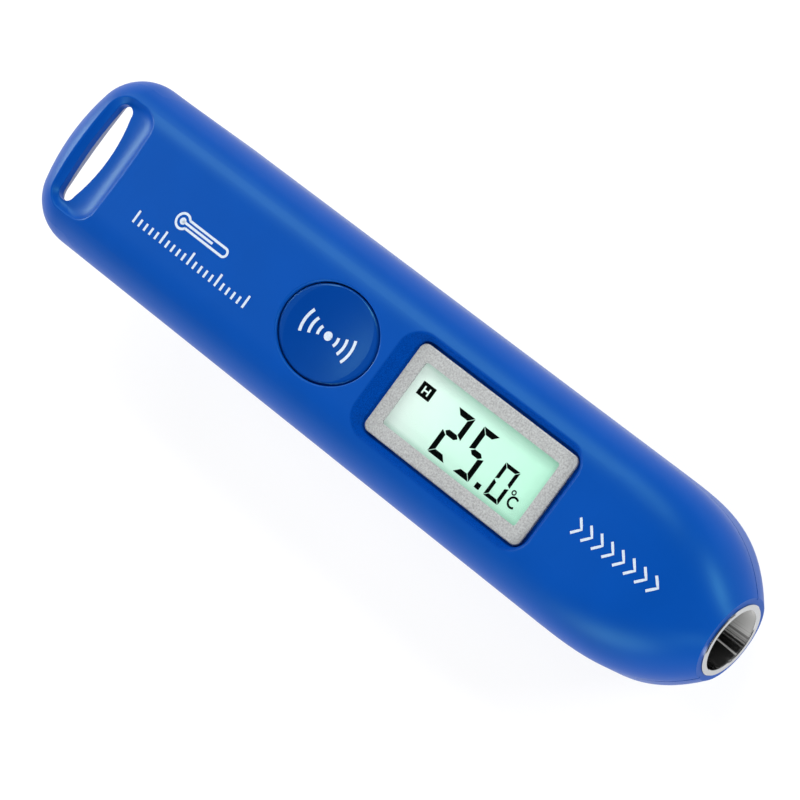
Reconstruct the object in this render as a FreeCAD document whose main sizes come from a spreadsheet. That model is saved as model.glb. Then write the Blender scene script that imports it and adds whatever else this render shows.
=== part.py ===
import FreeCAD, Part
import math
import os

DOC = FreeCAD.newDocument("pocket_infrared_thermometer")

# Driving dimensions in millimetres.
# X runs along the case with the nose at +X, Y across it and Z up from the flat back.
DIMENSIONS = {
    "case_length": 82.8,
    "case_width": 17.8,
    "case_height": 15.0,
    "front_edge_radius": 4.9,
    "rear_edge_radius": 3.5,
    "tail_corner_radius": 5.1,
    "tail_bow_radius": 20.0,
    "nose_start": 27.0,
    "nose_end": 41.2,
    "nose_face_radius": 4.3,
    "axis_height": 7.5,
    "parting_height": 8.0,
    "tab_bottom": 9.0,
    "tab_parting": 13.0,
    "slope_start": -27.5,
    "slope_end": -34.5,
    "floor_height": 1.8,
    "ceiling_height": 13.0,
    "cavity_x": 0.3,
    "cavity_length": 54.6,
    "cavity_width": 14.4,
    "bore_start": 26.5,
    "button_x": -4.1,
    "button_length": 10.8,
    "button_width": 9.0,
    "button_gap": 0.08,
    "button_top": 14.85,
    "flange_thickness": 0.7,
    "display_x": 13.5,
    "bezel_length": 19.2,
    "bezel_width": 9.5,
    "bezel_top": 14.3,
    "window_length": 16.4,
    "window_width": 6.7,
    "recess_floor": 14.05,
    "lens_thickness": 0.45,
    "lens_margin": 0.25,
    "glass_top": 13.4,
    "glass_thickness": 0.55,
    "film_thickness": 0.15,
    "board_top": 9.6,
    "board_thickness": 1.0,
    "cell_radius": 5.8,
    "cell_height": 5.4,
    "cell_bottom": 1.9,
    "cell_a_x": -19.5,
    "cell_b_x": -7.5,
    "door_start": -27.3,
    "door_end": -0.6,
    "door_width": 11.8,
    "door_thickness": 1.25,
    "screw_seat": 5.6,
    "ring_radius": 3.7,
    "mouth_radius": 3.12,
    "throat_radius": 1.5,
    "sleeve_radius": 3.4,
    "holder_radius": 4.2,
    "holder_start": 29.5,
    "holder_end": 36.1,
}

SHEET = DOC.addObject("Spreadsheet::Sheet", "dims")
for row, (alias, size) in enumerate(DIMENSIONS.items(), start=1):
    SHEET.set(f"A{row}", alias)
    SHEET.set(f"B{row}", str(size))
    SHEET.setAlias(f"B{row}", alias)
DOC.recompute()


def dim(alias):
    """Value of one driving dimension, read from the sheet."""
    return float(SHEET.get(alias))


def vec(x, y, z=0.0):
    return FreeCAD.Vector(x, y, z)


# Derived places shared by several pieces.
HALF_LENGTH = dim("case_length") / 2
HALF_WIDTH = dim("case_width") / 2
TAIL = -HALF_LENGTH


# ---------------------------------------------------------------- sketches and features

def new_body(label):
    body = DOC.addObject("PartDesign::Body", label)
    body.Label = label
    return body


def plane(body, role):
    return next(item for item in body.Origin.OriginFeatures if item.Role == role)


def sketch_on(body, role, offset=0.0):
    """Empty sketch on one of the body's origin planes, moved along its normal."""
    sketch = body.newObject("Sketcher::SketchObject", f"{body.Name}_sketch")
    sketch.AttachmentSupport = [(plane(body, role), "")]
    sketch.MapMode = "FlatFace"
    sketch.AttachmentOffset = FreeCAD.Placement(vec(0, 0, offset), FreeCAD.Rotation())
    return sketch


def add_lines(sketch, points):
    """Closed outline of straight lines."""
    for start, end in zip(points, points[1:] + points[:1]):
        sketch.addGeometry(Part.LineSegment(vec(*start), vec(*end)), False)


def add_arc(sketch, start, middle, end):
    sketch.addGeometry(Part.Arc(vec(*start), vec(*middle), vec(*end)), False)


def add_rounded_section(sketch, half_width, top, bottom, top_radius, bottom_radius):
    """Rectangle across the case with a radius on its two top and its two bottom corners."""
    tip = math.sqrt(0.5)
    corners = (
        (half_width, top, top_radius, 1, 1),
        (-half_width, top, top_radius, -1, 1),
        (-half_width, bottom, bottom_radius, -1, -1),
        (half_width, bottom, bottom_radius, 1, -1),
    )
    ends = []
    for x, y, radius, side, level in corners:
        centre = (x - side * radius, y - level * radius)
        on_side = (x, centre[1])
        on_level = (centre[0], y)
        middle = (centre[0] + side * radius * tip, centre[1] + level * radius * tip)
        first, last = (on_side, on_level) if side == level else (on_level, on_side)
        ends.append((first, middle, last))
    for index, (first, middle, last) in enumerate(ends):
        add_arc(sketch, first, middle, last)
        following = ends[(index + 1) % 4][0]
        sketch.addGeometry(Part.LineSegment(vec(*last), vec(*following)), False)


def pad(body, sketch, length):
    """Pad whose length is an expression on the sheet."""
    feature = body.newObject("PartDesign::Pad", f"{body.Name}_pad")
    feature.Profile = sketch
    feature.setExpression("Length", length)
    DOC.recompute()


def pocket(body, sketch, through=False, length=1.0, both_ways=False, reverse=False):
    """Pocket that must take material away."""
    before = body.Shape.Volume
    feature = body.newObject("PartDesign::Pocket", f"{body.Name}_pocket")
    feature.Profile = sketch
    feature.Type = "ThroughAll" if through else "Length"
    if not through:
        feature.Length = length
    if both_ways:
        feature.SideType = "Symmetric"
    feature.Reversed = reverse
    DOC.recompute()
    if body.Shape.Volume > before - 1e-3:
        raise RuntimeError(f"{feature.Name} takes nothing away from {body.Label}")


def loft(body, kind, sketches):
    feature = body.newObject(kind, f"{body.Name}_loft")
    feature.Profile = sketches[0]
    feature.Sections = sketches[1:]
    DOC.recompute()


def fillet(body, wanted, radius):
    """Fillet on the edges of the latest feature for which wanted(edge) is true."""
    base = body.Tip
    names = [f"Edge{i}" for i, edge in enumerate(base.Shape.Edges, start=1) if wanted(edge)]
    feature = body.newObject("PartDesign::Fillet", f"{body.Name}_fillet")
    feature.Base = (base, names)
    if isinstance(radius, str):
        feature.setExpression("Radius", radius)
    else:
        feature.Radius = radius
    DOC.recompute()


def middle_of(edge):
    first, last = edge.ParameterRange
    return edge.valueAt((first + last) / 2)


def at_level(edge, height):
    """True for an edge that lies flat at this height."""
    box = edge.BoundBox
    return abs(box.ZMin - height) < 0.01 and abs(box.ZMax - height) < 0.01


# ---------------------------------------------------------------- outer shape of the case

def tail_outline(sketch, end):
    """Plan of the case from the bowed tail to a straight cut at x = end."""
    radius = dim("tail_corner_radius")
    bow_radius = dim("tail_bow_radius")
    # The corner arc is tangent to the side and to the bow.
    centre_y = HALF_WIDTH - radius
    centre_x = TAIL + bow_radius - math.sqrt((bow_radius - radius) ** 2 - centre_y ** 2)
    lean = math.atan2(centre_y, TAIL + bow_radius - centre_x)
    joint = (centre_x - radius * math.cos(lean), centre_y + radius * math.sin(lean))
    half_way = (lean + math.pi / 2) / 2
    knee = (centre_x - radius * math.cos(half_way), centre_y + radius * math.sin(half_way))
    add_arc(sketch, (joint[0], -joint[1]), (TAIL, 0), joint)
    add_arc(sketch, joint, knee, (centre_x, HALF_WIDTH))
    sketch.addGeometry(Part.LineSegment(vec(centre_x, HALF_WIDTH), vec(end, HALF_WIDTH)), False)
    sketch.addGeometry(Part.LineSegment(vec(end, HALF_WIDTH), vec(end, -HALF_WIDTH)), False)
    sketch.addGeometry(Part.LineSegment(vec(end, -HALF_WIDTH), vec(centre_x, -HALF_WIDTH)), False)
    add_arc(sketch, (centre_x, -HALF_WIDTH), (knee[0], -knee[1]), (joint[0], -joint[1]))


NOSE_STATIONS = (0.0, 0.2, 0.4, 0.58, 0.74, 0.88, 1.0)
NOSE_POWER = 3.2
CORNER_POWER = 1.5


def add_nose(body):
    """Dome from the full section down to the round face of the nose."""
    start, end = dim("nose_start"), dim("nose_end")
    face, axis = dim("nose_face_radius"), dim("axis_height")
    height = dim("case_height")
    sketches = []
    for station in NOSE_STATIONS:
        left = 1 - station ** NOSE_POWER
        sketch = sketch_on(body, "YZ_Plane", start + station * (end - start))
        half_width = face + (HALF_WIDTH - face) * left
        top = axis + face + (height - axis - face) * left
        bottom = axis - face - (axis - face) * left
        # The corners grow from the radii of the bar until the section is a circle.
        turn = station ** CORNER_POWER
        fullest = 0.99 * (top - bottom) / 2
        share = 2 / height * (1 - turn)
        top_radius = fullest * (dim("front_edge_radius") * share + turn)
        bottom_radius = fullest * (dim("rear_edge_radius") * share + turn)
        add_rounded_section(sketch, half_width, top, bottom, top_radius, bottom_radius)
        sketches.append(sketch)
    loft(body, "PartDesign::AdditiveLoft", sketches)


TAB_BLEND = 3.0
UNDERSIDE_EDGE = 1.0


def add_blank(body):
    """Solid outer shape of the closed case: rounded bar, domed nose and thin tail tab."""
    start = dim("nose_start")
    height = dim("case_height")
    plan = sketch_on(body, "XY_Plane")
    tail_outline(plan, start)
    pad(body, plan, "dims.case_height")
    fillet(body, lambda edge: at_level(edge, height) and middle_of(edge).x < start - 1,
           "dims.front_edge_radius")
    fillet(body, lambda edge: at_level(edge, 0) and middle_of(edge).x < start - 1,
           "dims.rear_edge_radius")
    under = sketch_on(body, "XZ_Plane")
    tab, slope_start, slope_end = dim("tab_bottom"), dim("slope_start"), dim("slope_end")
    beyond = TAIL - 2
    slope = [(beyond, tab), (slope_end, tab), (slope_start, 0)]
    add_lines(under, [(beyond, -1)] + slope + [(slope_start, -1)])
    pocket(body, under, through=True, both_ways=True)
    fillet(body, lambda edge: middle_of(edge).distanceToPoint(vec(slope_end, 0, tab)) < 0.1, TAB_BLEND)
    fillet(body, borders_underside, UNDERSIDE_EDGE)
    add_nose(body)


def borders_underside(edge):
    """True for an edge where the slope or the tab underside meets the sides or the flat back."""
    point = middle_of(edge)
    slope_start, tab = dim("slope_start"), dim("tab_bottom")
    if point.x > slope_start + 0.1 or edge.BoundBox.XMax > slope_start + 0.1:
        return False
    fall = tab / (slope_start - dim("slope_end"))
    underside = min(tab, (slope_start - point.x) * fall)
    return point.z < underside + 0.3


# ---------------------------------------------------------------- the two halves of the case

NOSE_SCREWS = ((26.9, 4.8), (26.9, -4.8))
TAIL_SCREWS = ((-29.6, 4.6), (-29.6, -4.6))
SCREW_PLACES = NOSE_SCREWS + TAIL_SCREWS
BOARD_SCREW_PLACES = ((-13.5, 4.9), (-13.5, -4.9))
SCREW_RADIUS = 0.7
SCREW_HOLE_RADIUS = 0.85
SCREW_END = 11.3
BOARD_SCREW_END = 12.0
SCREW_TIP_ROOM = 0.2


def split(body, keep_top):
    """Take away the half of the blank below or above the stepped parting line."""
    low, high = dim("parting_height"), dim("tab_parting")
    beyond = HALF_LENGTH + 2
    far = -1 if keep_top else dim("case_height") + 1
    step_foot = dim("slope_start") - 1.5
    step = [(TAIL - 2, high), (dim("slope_end"), high), (step_foot, low), (beyond, low)]
    sketch = sketch_on(body, "XZ_Plane")
    add_lines(sketch, step + [(beyond, far), (TAIL - 2, far)])
    pocket(body, sketch, through=True, both_ways=True)


def add_rounded_rectangle(sketch, x_range, half_width, radius):
    """Plan rectangle with rounded corners."""
    tip = radius * (1 - math.sqrt(0.5))
    x0, x1 = x_range
    y = half_width
    add_arc(sketch, (x0, y - radius), (x0 + tip, y - tip), (x0 + radius, y))
    sketch.addGeometry(Part.LineSegment(vec(x0 + radius, y), vec(x1 - radius, y)), False)
    add_arc(sketch, (x1 - radius, y), (x1 - tip, y - tip), (x1, y - radius))
    sketch.addGeometry(Part.LineSegment(vec(x1, y - radius), vec(x1, radius - y)), False)
    add_arc(sketch, (x1, radius - y), (x1 - tip, tip - y), (x1 - radius, -y))
    sketch.addGeometry(Part.LineSegment(vec(x1 - radius, -y), vec(x0 + radius, -y)), False)
    add_arc(sketch, (x0 + radius, -y), (x0 + tip, tip - y), (x0, radius - y))
    sketch.addGeometry(Part.LineSegment(vec(x0, radius - y), vec(x0, y - radius)), False)


def add_circle(sketch, x, y, radius):
    sketch.addGeometry(Part.Circle(vec(x, y), vec(0, 0, 1), radius), False)


def add_ellipse(sketch, x, long_half, short_half):
    ellipse = Part.Ellipse(vec(x + long_half, 0), vec(x, short_half), vec(x, 0))
    sketch.addGeometry(ellipse, False)


def cut_cavity(body, keep_top):
    level = dim("ceiling_height") if keep_top else dim("floor_height")
    sketch = sketch_on(body, "XY_Plane", level)
    middle, half = dim("cavity_x"), dim("cavity_length") / 2
    add_rounded_rectangle(sketch, (middle - half, middle + half), dim("cavity_width") / 2, 2.0)
    pocket(body, sketch, through=True, reverse=not keep_top)


def cut_bore(body, radius, start, length):
    """Round bore along the nose axis."""
    sketch = sketch_on(body, "YZ_Plane", start)
    add_circle(sketch, 0, dim("axis_height"), radius)
    pocket(body, sketch, length=length, reverse=True)


def cut_nose_bores(body):
    start, end = dim("bore_start"), dim("holder_end") + 0.1
    cut_bore(body, dim("holder_radius") + 0.05, start, end - start)
    cut_bore(body, dim("sleeve_radius") + 0.05, end, HALF_LENGTH + 1 - end)


GROOVE_HEIGHT = 0.14
GROOVE_DEPTH = 0.25


def cut_parting_groove(body):
    """Fine groove along both sides and round the nose where the two halves meet."""
    sketch = sketch_on(body, "XY_Plane", dim("parting_height") + GROOVE_HEIGHT)
    start, end = dim("nose_start"), dim("nose_end")
    face = dim("nose_face_radius")
    near, far = dim("slope_start") + 1, HALF_LENGTH + 2
    side = [(near, HALF_WIDTH - GROOVE_DEPTH)]
    for station in NOSE_STATIONS:
        half_width = face + (HALF_WIDTH - face) * (1 - station ** NOSE_POWER)
        side.append((start + station * (end - start), half_width - GROOVE_DEPTH))
    outside = HALF_WIDTH + 1
    strip = side + [(far, side[-1][1]), (far, outside), (near, outside)]
    add_lines(sketch, strip)
    add_lines(sketch, [(x, -y) for x, y in strip])
    pocket(body, sketch, length=GROOVE_HEIGHT + 0.5)


SLOT_START = -37.6
SLOT_END = -34.75
SLOT_HALF = 5.4


def add_slot_outline(sketch, tail=0.0, nose=0.0, end=0.0, radius=0.85, bows=(0.3, 0.7)):
    """Rounded outline of the lanyard slot, bowed on its tail and nose sides, grown by these margins."""
    x0, x1 = SLOT_START - tail, SLOT_END + nose
    y = SLOT_HALF + end
    left, right = x0 + bows[0], x1 - bows[1]
    tip = radius * (1 - math.sqrt(0.5))
    inner = y - radius
    add_arc(sketch, (left, -inner), (x0, 0), (left, inner))
    add_arc(sketch, (left, inner), (left + tip, y - tip), (left + radius, y))
    sketch.addGeometry(Part.LineSegment(vec(left + radius, y), vec(right - radius, y)), False)
    add_arc(sketch, (right - radius, y), (right - tip, y - tip), (right, inner))
    add_arc(sketch, (right, inner), (x1, 0), (right, -inner))
    add_arc(sketch, (right, -inner), (right - tip, tip - y), (right - radius, -y))
    sketch.addGeometry(Part.LineSegment(vec(right - radius, -y), vec(left + radius, -y)), False)
    add_arc(sketch, (left + radius, -y), (left + tip, tip - y), (left, -inner))


MOUTH_BOWS = (0.12, 0.12)

# Height below the front face and margins of the scooped mouth of the slot, from its waist outwards.
FRONT_MOUTH = (
    (1.15, {}),
    (0.65, {"tail": 0.25, "nose": 2.2, "end": 0.8, "radius": 1.9, "bows": MOUTH_BOWS}),
    (-0.1, {"tail": 0.6, "nose": 3.1, "end": 1.45, "radius": 2.6, "bows": MOUTH_BOWS}),
)
# The same from the underside of the tail tab.
REAR_MOUTH = (
    (4.0, {}),
    (-0.1, {"tail": 2.4, "nose": 1.6, "end": 1.2, "radius": 2.0, "bows": MOUTH_BOWS}),
)


def cut_slot(body, keep_top):
    """Slot waist through the tab and the flared mouth on the outer face of this half."""
    mouth = FRONT_MOUTH if keep_top else REAR_MOUTH
    sketches = []
    for depth, margins in mouth:
        level = dim("case_height") - depth if keep_top else dim("tab_bottom") + depth
        sketch = sketch_on(body, "XY_Plane", level)
        add_slot_outline(sketch, **margins)
        sketches.append(sketch)
    loft(body, "PartDesign::SubtractiveLoft", sketches)
    through = sketch_on(body, "XY_Plane", dim("case_height") + 1)
    add_slot_outline(through)
    pocket(body, through, through=True)


def cut_holes(body, places, radius, start, end):
    """Round vertical holes between two heights."""
    sketch = sketch_on(body, "XY_Plane", end)
    for x, y in places:
        add_circle(sketch, x, y, radius)
    pocket(body, sketch, length=end - start)


def add_bosses(body, places, radius, start, end):
    sketch = sketch_on(body, "XY_Plane", start)
    for x, y in places:
        add_circle(sketch, x, y, radius)
    pad(body, sketch, str(end - start))


def on_rim(edge, x_range, half_width):
    """True for an edge of the front face inside this plan rectangle."""
    box = edge.BoundBox
    inside = box.XMin > x_range[0] and box.XMax < x_range[1]
    inside = inside and box.YMax < half_width and box.YMin > -half_width
    return inside and at_level(edge, dim("case_height"))


# Reach towards the button, reach towards the nose, half width and corner radius of the recess.
RECESS_FLOOR = (10.0, 9.85, 5.0, 1.4)
RECESS_RIM = (11.2, 10.5, 5.6, 2.4)
RECESS_RIM_EDGE = 0.3
LENS_CORNER = 0.6


def cut_display_seat(body):
    """Sunken recess with a long slope towards the button, and the opening for the window lens."""
    x, height = dim("display_x"), dim("case_height")
    sketches = []
    for level, outline in ((dim("recess_floor"), RECESS_FLOOR), (height + 0.1, RECESS_RIM)):
        back, front, half_width, radius = outline
        sketch = sketch_on(body, "XY_Plane", level)
        add_rounded_rectangle(sketch, (x - back, x + front), half_width, radius)
        sketches.append(sketch)
    loft(body, "PartDesign::SubtractiveLoft", sketches)
    fillet(body, lambda edge: on_rim(edge, (x - 12, x + 12), 6.5), RECESS_RIM_EDGE)
    opening = sketch_on(body, "XY_Plane", height)
    half = dim("bezel_length") / 2 - dim("lens_margin")
    half_width = dim("bezel_width") / 2 - dim("lens_margin")
    add_rounded_rectangle(opening, (x - half, x + half), half_width, LENS_CORNER)
    pocket(body, opening, length=height - dim("ceiling_height") + 1)


BUTTON_RIM_EDGE = 0.18


def cut_button_hole(body):
    """Oval hole for the button cap, with a softened rim."""
    x, gap = dim("button_x"), dim("button_gap")
    above = dim("case_height") + 1
    hole = sketch_on(body, "XY_Plane", above)
    add_ellipse(hole, x, dim("button_length") / 2 + gap, dim("button_width") / 2 + gap)
    pocket(body, hole, length=above - dim("ceiling_height") + 0.5)
    reach = dim("button_length") / 2 + 1
    fillet(body, lambda edge: on_rim(edge, (x - reach, x + reach), 5), BUTTON_RIM_EDGE)


BOSS_RADIUS = 1.8
BOARD_BOSS_RADIUS = 1.5
SLOT_RIM_EDGE = 0.15


def build_front_case():
    body = new_body("front_case")
    add_blank(body)
    split(body, True)
    cut_cavity(body, True)
    cut_nose_bores(body)
    seam = dim("parting_height") + 0.1
    ceiling = dim("ceiling_height")
    add_bosses(body, NOSE_SCREWS, BOSS_RADIUS, seam, ceiling)
    add_bosses(body, BOARD_SCREW_PLACES, BOARD_BOSS_RADIUS, dim("board_top"), ceiling)
    cut_holes(body, SCREW_PLACES, SCREW_RADIUS, seam - 1, SCREW_END + SCREW_TIP_ROOM)
    board_hole_end = BOARD_SCREW_END + SCREW_TIP_ROOM
    cut_holes(body, BOARD_SCREW_PLACES, SCREW_RADIUS, dim("board_top") - 1, board_hole_end)
    cut_display_seat(body)
    cut_button_hole(body)
    cut_slot(body, True)
    fillet(body, lambda edge: on_rim(edge, (TAIL, dim("slope_start")), HALF_WIDTH), SLOT_RIM_EDGE)
    cut_parting_groove(body)


DOOR_GAP = 0.05
TONGUE_REACH = 0.6
TONGUE_RANGE = (0.55, 0.9)
STRIP_CHANNEL = 1.8


def cut_door_bay(body):
    """Opening for the cells, the groove that the door slides in and its way out over the slope."""
    beyond = dim("slope_start") - 2.0
    front = dim("door_end") + 0.1
    half = dim("door_width") / 2 + DOOR_GAP
    slide = sketch_on(body, "XY_Plane", dim("door_thickness") + DOOR_GAP)
    add_lines(slide, [(beyond, -half), (front, -half), (front, half), (beyond, half)])
    pocket(body, slide, through=True)
    low, high = TONGUE_RANGE
    groove = sketch_on(body, "XY_Plane", high + DOOR_GAP)
    wide = half + TONGUE_REACH + DOOR_GAP
    add_lines(groove, [(beyond, -wide), (front, -wide), (front, wide), (beyond, wide)])
    pocket(body, groove, length=high - low + 2 * DOOR_GAP)
    bay = sketch_on(body, "XY_Plane", dim("floor_height") + 0.1)
    radius = dim("cell_radius") + 0.1
    add_rounded_rectangle(bay, (dim("cell_a_x") - radius, dim("cell_b_x") + radius), radius, 1.0)
    pocket(body, bay, through=True)
    channel = sketch_on(body, "XY_Plane", dim("cell_bottom") + 0.1)
    end = dim("cell_a_x")
    side = STRIP_CHANNEL
    add_lines(channel, [(beyond, -side), (end, -side), (end, side), (beyond, side)])
    pocket(body, channel, through=True)


CELL_WALL = (-0.9, 0.3)
SCREW_HEAD_WELL = 1.6
REAR_BOSS_RADIUS = 2.4


def build_rear_case():
    body = new_body("rear_case")
    add_blank(body)
    split(body, False)
    cut_cavity(body, False)
    cut_nose_bores(body)
    seam = dim("parting_height")
    floor = dim("floor_height")
    wall = sketch_on(body, "XY_Plane", floor)
    near, far = CELL_WALL
    wide = dim("cavity_width") / 2 + 0.2
    add_lines(wall, [(near, -wide), (far, -wide), (far, wide), (near, wide)])
    pad(body, wall, "dims.cell_height")
    add_bosses(body, NOSE_SCREWS, REAR_BOSS_RADIUS, floor, seam)
    cut_door_bay(body)
    seat = dim("screw_seat")
    cut_holes(body, SCREW_PLACES, SCREW_HEAD_WELL, -1, seat)
    cut_holes(body, SCREW_PLACES, SCREW_HOLE_RADIUS, -1, seam + 2)
    cut_slot(body, False)


# ---------------------------------------------------------------- simple pieces

def bind(item, name, size):
    """Bind a size to an expression on the sheet, or set it as it is."""
    if isinstance(size, str):
        item.setExpression(name, size)
    else:
        setattr(item, name, size)


def block(label, x_range, half_width, z_range, middle_y=0.0):
    """Box between two X values and two heights, centred on middle_y."""
    item = DOC.addObject("Part::Box", label)
    item.Label = label
    item.Length = x_range[1] - x_range[0]
    item.Width = 2 * half_width
    item.Height = z_range[1] - z_range[0]
    item.Placement.Base = vec(x_range[0], middle_y - half_width, z_range[0])
    return item


def post(label, x, y, z, radius, height):
    """Upright cylinder."""
    item = DOC.addObject("Part::Cylinder", label)
    item.Label = label
    bind(item, "Radius", radius)
    bind(item, "Height", height)
    item.Placement.Base = vec(x, y, z)
    return item


def axial(label, start, end, radius, y=0.0, z=None):
    """Cylinder along the nose axis between two X values."""
    item = DOC.addObject("Part::Cylinder", label)
    item.Label = label
    bind(item, "Radius", radius)
    item.Height = end - start
    height = dim("axis_height") if z is None else z
    turn = FreeCAD.Rotation(vec(0, 1, 0), 90)
    item.Placement = FreeCAD.Placement(vec(start, y, height), turn)
    return item


def joined(label, items):
    item = DOC.addObject("Part::MultiFuse", label)
    item.Label = label
    item.Shapes = items
    return item


def grouped(label, items):
    """Identical separate solids kept as one node."""
    item = DOC.addObject("Part::Compound", label)
    item.Label = label
    item.Links = items
    return item


def without(label, base, tool):
    item = DOC.addObject("Part::Cut", label)
    item.Label = label
    item.Base = base
    item.Tool = tool
    return item


def rounded(label, base, wanted, radius):
    """Part fillet on the edges for which wanted(edge) is true."""
    DOC.recompute()
    item = DOC.addObject("Part::Fillet", label)
    item.Label = label
    item.Base = base
    edges = enumerate(base.Shape.Edges, start=1)
    item.Edges = [(i, radius, radius) for i, edge in edges if wanted(edge)]
    return item


# ---------------------------------------------------------------- button and switch

BUTTON_EDGE = 0.35
DISH_DEPTH = 0.32


def build_button():
    """Oval cap with a dished top and a flange that keeps it under the case."""
    body = new_body("measure_button")
    x, top = dim("button_x"), dim("button_top")
    flange_bottom = dim("ceiling_height") - dim("flange_thickness")
    flange = sketch_on(body, "XY_Plane", flange_bottom)
    lip = 0.9
    add_ellipse(flange, x, dim("button_length") / 2 + lip, dim("button_width") / 2 + lip)
    pad(body, flange, "dims.flange_thickness")
    cap = sketch_on(body, "XY_Plane", flange_bottom)
    add_ellipse(cap, x, dim("button_length") / 2, dim("button_width") / 2)
    pad(body, cap, "dims.button_top - dims.ceiling_height + dims.flange_thickness")
    fillet(body, lambda edge: middle_of(edge).z > top - 0.01, BUTTON_EDGE)
    reach = dim("button_width") / 2
    bowl = top - DISH_DEPTH
    quarter_rise = DISH_DEPTH / 4
    dish = sketch_on(body, "XZ_Plane")
    add_arc(dish, (x, bowl), (x + reach / 2, bowl + quarter_rise), (x + reach, top))
    corners = [(x + reach, top), (x + reach, top + 1), (x, top + 1), (x, bowl)]
    for start, end in zip(corners, corners[1:]):
        axis_line = dish.addGeometry(Part.LineSegment(vec(*start), vec(*end)), False)
    groove = body.newObject("PartDesign::Groove", "measure_button_dish")
    groove.Profile = dish
    groove.ReferenceAxis = (dish, [f"Edge{axis_line + 1}"])
    groove.Angle = 360
    DOC.recompute()


SWITCH_TOP = 11.4


def build_switch():
    x, top = dim("button_x"), dim("board_top")
    well_bottom = 10.4
    shell = block("switch_shell", (x - 3, x + 3), 3.0, (top, SWITCH_TOP))
    well = post("switch_well", x, 0, well_bottom, 1.6, 2.0)
    without("switch_body", shell, well)
    plate = block("switch_plate", (x - 2.9, x + 2.9), 2.9, (SWITCH_TOP, SWITCH_TOP + 0.15))
    eye = post("switch_eye", x, 0, SWITCH_TOP - 0.5, 1.6, 1.5)
    without("switch_cover", plate, eye)
    flange_bottom = dim("ceiling_height") - dim("flange_thickness")
    post("switch_plunger", x, 0, well_bottom + 0.6, 1.5, flange_bottom - well_bottom - 0.6)
    pins = []
    for index, (side, end) in enumerate(((1, 1), (1, -1), (-1, 1), (-1, -1))):
        x_outer = x + side * 3.6
        x_range = (min(x + side * 3.0, x_outer), max(x + side * 3.0, x_outer))
        pins.append(block(f"switch_pin_{index}", x_range, 0.35, (top, top + 0.8), end * 2.25))
    grouped("switch_pins", pins)


# ---------------------------------------------------------------- display

def framed(label, x_range, half_width, z_range, inner, inner_half, radius, inner_radius):
    """Flat frame made as a PartDesign pad and pocket."""
    body = new_body(label)
    outer = sketch_on(body, "XY_Plane", z_range[0])
    add_rounded_rectangle(outer, x_range, half_width, radius)
    pad(body, outer, str(z_range[1] - z_range[0]))
    hole = sketch_on(body, "XY_Plane", z_range[1] + 1)
    add_rounded_rectangle(hole, inner, inner_half, inner_radius)
    pocket(body, hole, through=True)
    return body


BEZEL_EDGE = 0.12


def outside(point, x, corner):
    """True for a point outside the rectangle centred on x whose corner is this far away."""
    return abs(point.x - x) > corner.x or abs(point.y) > corner.y


def build_display():
    """Frame, lens and liquid crystal stack, from the outside in."""
    x = dim("display_x")
    board = dim("board_top")
    floor, top = dim("recess_floor"), dim("bezel_top")
    half, wide = dim("bezel_length") / 2, dim("bezel_width") / 2
    view, view_wide = dim("window_length") / 2, dim("window_width") / 2
    bezel = framed("lcd_bezel", (x - half, x + half), wide, (floor, top),
                   (x - view, x + view), view_wide, 0.75, 0.25)
    corner = vec(half - 0.5, wide - 0.5)
    fillet(bezel, lambda edge: at_level(edge, top) and outside(middle_of(edge), x, corner), BEZEL_EDGE)
    lens = new_body("lcd_window")
    lens_outline = sketch_on(lens, "XY_Plane", floor - dim("lens_thickness"))
    inset = dim("lens_margin") + 0.05
    add_rounded_rectangle(lens_outline, (x - half + inset, x + half - inset), wide - inset, LENS_CORNER)
    pad(lens, lens_outline, "dims.lens_thickness")
    framed("lcd_holder", (x - 10.1, x + 10.1), 5.1, (board, 12.95),
           (x - 9.3, x + 9.3), 4.3, 0.5, 0.3)
    glass = (x - 9.2, x + 9.2)
    film = (x - 8.9, x + 8.9)
    glass_top, thick, thin = dim("glass_top"), dim("glass_thickness"), dim("film_thickness")
    glass_middle, glass_low = glass_top - thick, glass_top - 2 * thick
    block("lcd_front_glass", glass, 4.2, (glass_middle, glass_top))
    block("lcd_rear_glass", glass, 4.2, (glass_low, glass_middle))
    block("lcd_front_polariser", film, 3.9, (glass_top, glass_top + thin))
    block("lcd_rear_polariser", film, 3.2, (glass_low - thin, glass_low))
    block("light_guide", (x - 9.1, x + 8.0), 3.1, (board + 0.7, glass_low - thin))
    block("backlight_lamp", (x + 8.1, x + 9.1), 1.0, (board, board + 1.4))
    strips = []
    for index, side in enumerate((-1, 1)):
        strips.append(block(f"strip_{index}", (x - 9.0, x + 9.0), 0.4, (board, glass_low), side * 3.7))
    grouped("connector_strips", strips)


# ---------------------------------------------------------------- circuit board

BOARD_ENDS = (-26.0, 24.2)
CHIP_ROW_START = 13.0
CHIP_COUNT = 5


def build_board():
    top = dim("board_top")
    low = top - dim("board_thickness")
    body = new_body("main_board")
    outline = sketch_on(body, "XY_Plane", low)
    add_rounded_rectangle(outline, BOARD_ENDS, 6.6, 0.8)
    for x, y in BOARD_SCREW_PLACES:
        add_circle(outline, x, y, SCREW_RADIUS + 0.1)
    pad(body, outline, "dims.board_thickness")
    blob = post("blob_disc", 8.5, 0, low - 1.1, 3.2, 1.1)
    rounded("chip_blob", blob, lambda edge: middle_of(edge).z < low - 1.0, 0.9)
    axial("clock_crystal", 13.5, 19.5, 1.0, 3.6, low - 1.0)
    chips = []
    for index in range(CHIP_COUNT):
        x = CHIP_ROW_START + index * 1.9
        chips.append(block(f"capacitor_{index}", (x, x + 1.2), 0.5, (low - 0.7, low), -4.6))
    grouped("capacitors", chips)
    chips = []
    for index in range(CHIP_COUNT):
        x = CHIP_ROW_START + index * 1.5
        chips.append(block(f"resistor_{index}", (x, x + 0.8), 0.6, (low - 0.45, low), -2.2))
    grouped("resistors", chips)


# ---------------------------------------------------------------- cells and contacts

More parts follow.
